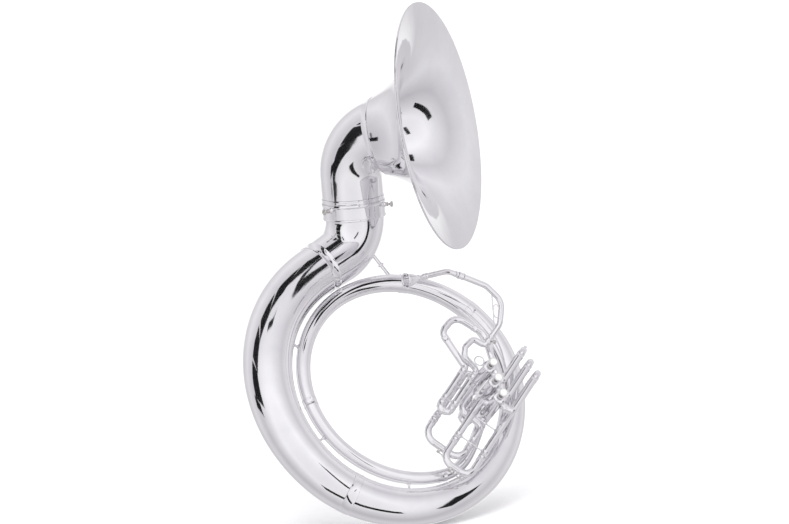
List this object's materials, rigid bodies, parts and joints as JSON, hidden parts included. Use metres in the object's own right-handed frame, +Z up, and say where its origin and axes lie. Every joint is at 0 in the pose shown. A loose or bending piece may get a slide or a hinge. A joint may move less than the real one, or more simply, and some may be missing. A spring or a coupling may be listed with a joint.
{
  "type": "sousaphone",
  "caption": "Silver-plated sousaphone: a coiled conical body with a forward-facing flared bell on an upright, piston valves with slides, neck and mouthpiece.",
  "frame": {"origin": "shoulder rest: the underside of the ring where it lies on the player's left shoulder", "axes": "+X the way the bell faces, +Y the player's left, +Z up along the bell collar"},
  "size_m": [0.7125, 0.8612, 1.3127],
  "materials": {
    "silver_plate": "silver-plated and polished",
    "nickel_silver": "polished nickel silver",
    "pearl": "pearl inlay in a plated cup",
    "spring_wire": "drawn wire"
  },
  "bodies": {
    "horn": {"bell_collar": "silver_plate", "body_branch_1": "silver_plate", "body_branch_2": "silver_plate", "body_branch_3": "silver_plate", "body_branch_4": "silver_plate", "body_branch_5": "silver_plate", "bottom_cap_1": "silver_plate", "bottom_cap_2": "silver_plate", "bottom_cap_3": "silver_plate", "coil_brace_1": "silver_plate", "coil_brace_2": "silver_plate", "coil_brace_3": "silver_plate", "coil_ferrule_1": "silver_plate", "coil_ferrule_2": "silver_plate", "coil_ferrule_3": "silver_plate", "coil_ferrule_4": "silver_plate", "coil_strut": "silver_plate", "crook_1": "silver_plate", "crook_2": "silver_plate", "crook_3": "silver_plate", "first_slide_left_leg": "silver_plate", "first_slide_right_leg": "silver_plate", "leadpipe": "silver_plate", "second_slide_legs": "silver_plate", "third_slide_legs": "silver_plate", "top_cap_1": "silver_plate", "top_cap_2": "silver_plate", "top_cap_3": "silver_plate", "tuning_slide_legs": "silver_plate", "upright_branch": "silver_plate", "upright_ferrule": "silver_plate", "valve_casing_1": "silver_plate", "valve_casing_2": "silver_plate", "valve_casing_3": "silver_plate", "valve_feed_bow": "silver_plate", "valve_spring_1": "spring_wire", "valve_spring_2": "spring_wire", "valve_spring_3": "spring_wire"},
    "bell": {"bell_tenon": "silver_plate", "bell_elbow": "silver_plate", "bell_flare": "silver_plate"},
    "bell_screw_right": {"bell_screw_right": "nickel_silver"},
    "bell_screw_back": {"bell_screw_back": "nickel_silver"},
    "bell_screw_left": {"bell_screw_left": "nickel_silver"},
    "valve_1": {"piston_1": "nickel_silver", "finger_button_1": "pearl"},
    "valve_2": {"piston_2": "nickel_silver", "finger_button_2": "pearl"},
    "valve_3": {"piston_3": "nickel_silver", "finger_button_3": "pearl"},
    "tuning_slide": {"main_tuning_slide": "silver_plate"},
    "slide_1": {"first_slide": "silver_plate"},
    "slide_2": {"second_slide": "silver_plate"},
    "slide_3": {"third_slide": "silver_plate"},
    "key_1": {"water_key_1": "nickel_silver"},
    "key_3": {"water_key_3": "nickel_silver"},
    "neck": {"neck_pipe": "silver_plate"},
    "bit": {"neck_bit": "silver_plate"},
    "cup": {"mouthpiece": "silver_plate"},
    "neck_clamp": {"neck_screw": "nickel_silver"}
  },
  "joints": [
    {"name": "bell_swivel", "type": "hinge", "parent": "horn", "child": "bell", "pos_m": [-0.046, 0.049, 0.216], "axis": [0, 0, 1], "continuous": true},
    {"name": "bell_screw_right_turn", "type": "hinge", "parent": "horn", "child": "bell_screw_right", "pos_m": [-0.046, 0.049, 0.226], "axis": [1, 0, 0], "continuous": true},
    {"name": "bell_screw_back_turn", "type": "hinge", "parent": "horn", "child": "bell_screw_back", "pos_m": [-0.046, 0.049, 0.226], "axis": [-0.5, 0.866, 0], "continuous": true},
    {"name": "bell_screw_left_turn", "type": "hinge", "parent": "horn", "child": "bell_screw_left", "pos_m": [-0.046, 0.049, 0.226], "axis": [-0.5, -0.866, 0], "continuous": true},
    {"name": "valve_1_press", "type": "slide", "parent": "horn", "child": "valve_1", "axis": [-0.5554, 0.6061, -0.5693], "range_m": [0, 0.0155], "stiffness_N_per_m": 180, "springref_m": -0.02, "deforming": ["valve_spring_1"]},
    {"name": "valve_2_press", "type": "slide", "parent": "horn", "child": "valve_2", "axis": [-0.5554, 0.6061, -0.5693], "range_m": [0, 0.0155], "stiffness_N_per_m": 180, "springref_m": -0.02, "deforming": ["valve_spring_2"]},
    {"name": "valve_3_press", "type": "slide", "parent": "horn", "child": "valve_3", "axis": [-0.5554, 0.6061, -0.5693], "range_m": [0, 0.0155], "stiffness_N_per_m": 180, "springref_m": -0.02, "deforming": ["valve_spring_3"]},
    {"name": "tuning_slide_pull", "type": "slide", "parent": "horn", "child": "tuning_slide", "axis": [-0.3149, -0.7869, -0.5307], "range_m": [0, 0.06]},
    {"name": "slide_1_pull", "type": "slide", "parent": "horn", "child": "slide_1", "axis": [-0.3149, -0.7869, -0.5307], "range_m": [0, 0.035]},
    {"name": "slide_2_pull", "type": "slide", "parent": "horn", "child": "slide_2", "axis": [-0.3149, -0.7869, -0.5307], "range_m": [0, 0.03]},
    {"name": "slide_3_pull", "type": "slide", "parent": "horn", "child": "slide_3", "axis": [-0.3149, -0.7869, -0.5307], "range_m": [0, 0.06]},
    {"name": "water_key_1_lift", "type": "hinge", "parent": "slide_1", "child": "key_1", "pos_m": [0.23167, -0.23411, -0.39037], "axis": [0.5554, -0.6061, 0.5693], "range_deg": [0, 9], "stiffness_Nm_per_rad": 0.05, "springref_deg": -28.65},
    {"name": "water_key_3_lift", "type": "hinge", "parent": "slide_3", "child": "key_3", "pos_m": [0.27185, -0.27993, -0.42918], "axis": [0.5554, -0.6061, 0.5693], "range_deg": [0, 9], "stiffness_Nm_per_rad": 0.05, "springref_deg": -28.65},
    {"name": "neck_swivel", "type": "hinge", "parent": "horn", "child": "neck", "pos_m": [0.32047, -0.02526, -0.13166], "axis": [0.4515, 0.5969, 0.6632], "range_deg": [-10, 10]},
    {"name": "bit_turn", "type": "hinge", "parent": "neck", "child": "bit", "pos_m": [0.25043, -0.02563, 0.04519], "axis": [-0.7321, -0.5145, 0.4465], "range_deg": [-25, 25]},
    {"name": "mouthpiece_turn", "type": "hinge", "parent": "bit", "child": "cup", "pos_m": [0.17589, -0.10204, 0.05763], "axis": [-0.6479, -0.7613, -0.0246], "continuous": true},
    {"name": "neck_screw_turn", "type": "hinge", "parent": "horn", "child": "neck_clamp", "pos_m": [0.3191, -0.02828, -0.1339], "axis": [0.937, -0.3469, -0.0415], "continuous": true}
  ]
}
